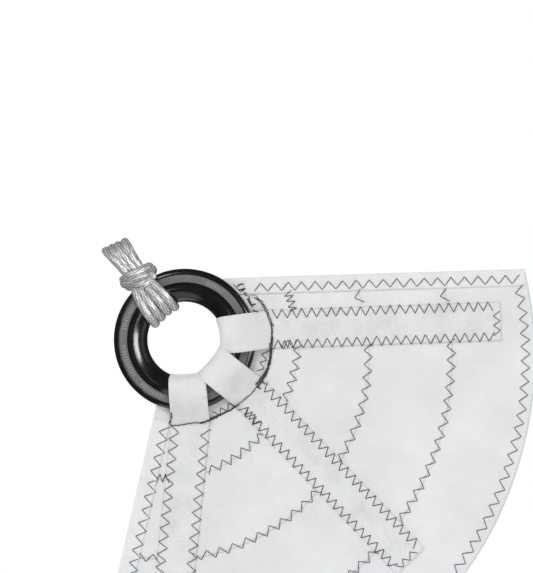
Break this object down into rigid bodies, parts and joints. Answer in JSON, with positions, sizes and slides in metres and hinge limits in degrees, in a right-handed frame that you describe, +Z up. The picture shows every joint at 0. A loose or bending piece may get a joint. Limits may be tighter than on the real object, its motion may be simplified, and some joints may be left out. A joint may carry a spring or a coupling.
{
  "type": "webbed thimble eye",
  "caption": "Round grooved thimble held in a reinforced sail corner by sewn webbing straps, with a rope lashing through it.",
  "frame": {"origin": "centre of the thimble's eye, midway through its thickness", "axes": "Y is the thimble's axis, with the front of the sail towards -Y; +Z is up the luff and +X runs into the sail"},
  "size_m": [0.2383, 0.0314, 0.2593],
  "materials": {
    "moulded_ring": "black moulded nylon, polished, with grey reflections",
    "webbing": "white polyester webbing, tightly woven",
    "sailcloth": "white laminated sailcloth, smooth and stiff",
    "cloth_tape": "white polyester edge tape",
    "thread": "black waxed polyester thread",
    "rope": "silver-grey braided high-modulus rope"
  },
  "bodies": {
    "sail_corner": {"strap_upper": "webbing", "strap_diagonal": "webbing", "strap_lower": "webbing", "panel_core": "sailcloth", "ply_front_wide": "sailcloth", "ply_front_middle": "sailcloth", "ply_front_small": "sailcloth", "ply_back_wide": "sailcloth", "ply_back_middle": "sailcloth", "ply_back_small": "sailcloth", "whipping_front": "thread", "whipping_back": "thread", "edge_tape_top": "cloth_tape", "edge_tape_side": "cloth_tape"},
    "thimble": {"thimble_ring": "moulded_ring"},
    "lashing": {"lashing_turns": "rope", "lashing_frapping": "rope", "lashing_end": "rope"}
  },
  "joints": [
    {"name": "thimble_turn", "type": "hinge", "parent": "sail_corner", "child": "thimble", "pos_m": [0, 0, 0], "axis": [0, -1, 0], "range_deg": [-47, 86]},
    {"name": "lashing_swing", "type": "hinge", "parent": "thimble", "child": "lashing", "pos_m": [-0.0167, 0, 0.02273], "axis": [0.8059, 0, 0.592], "range_deg": [-60, 60]}
  ]
}
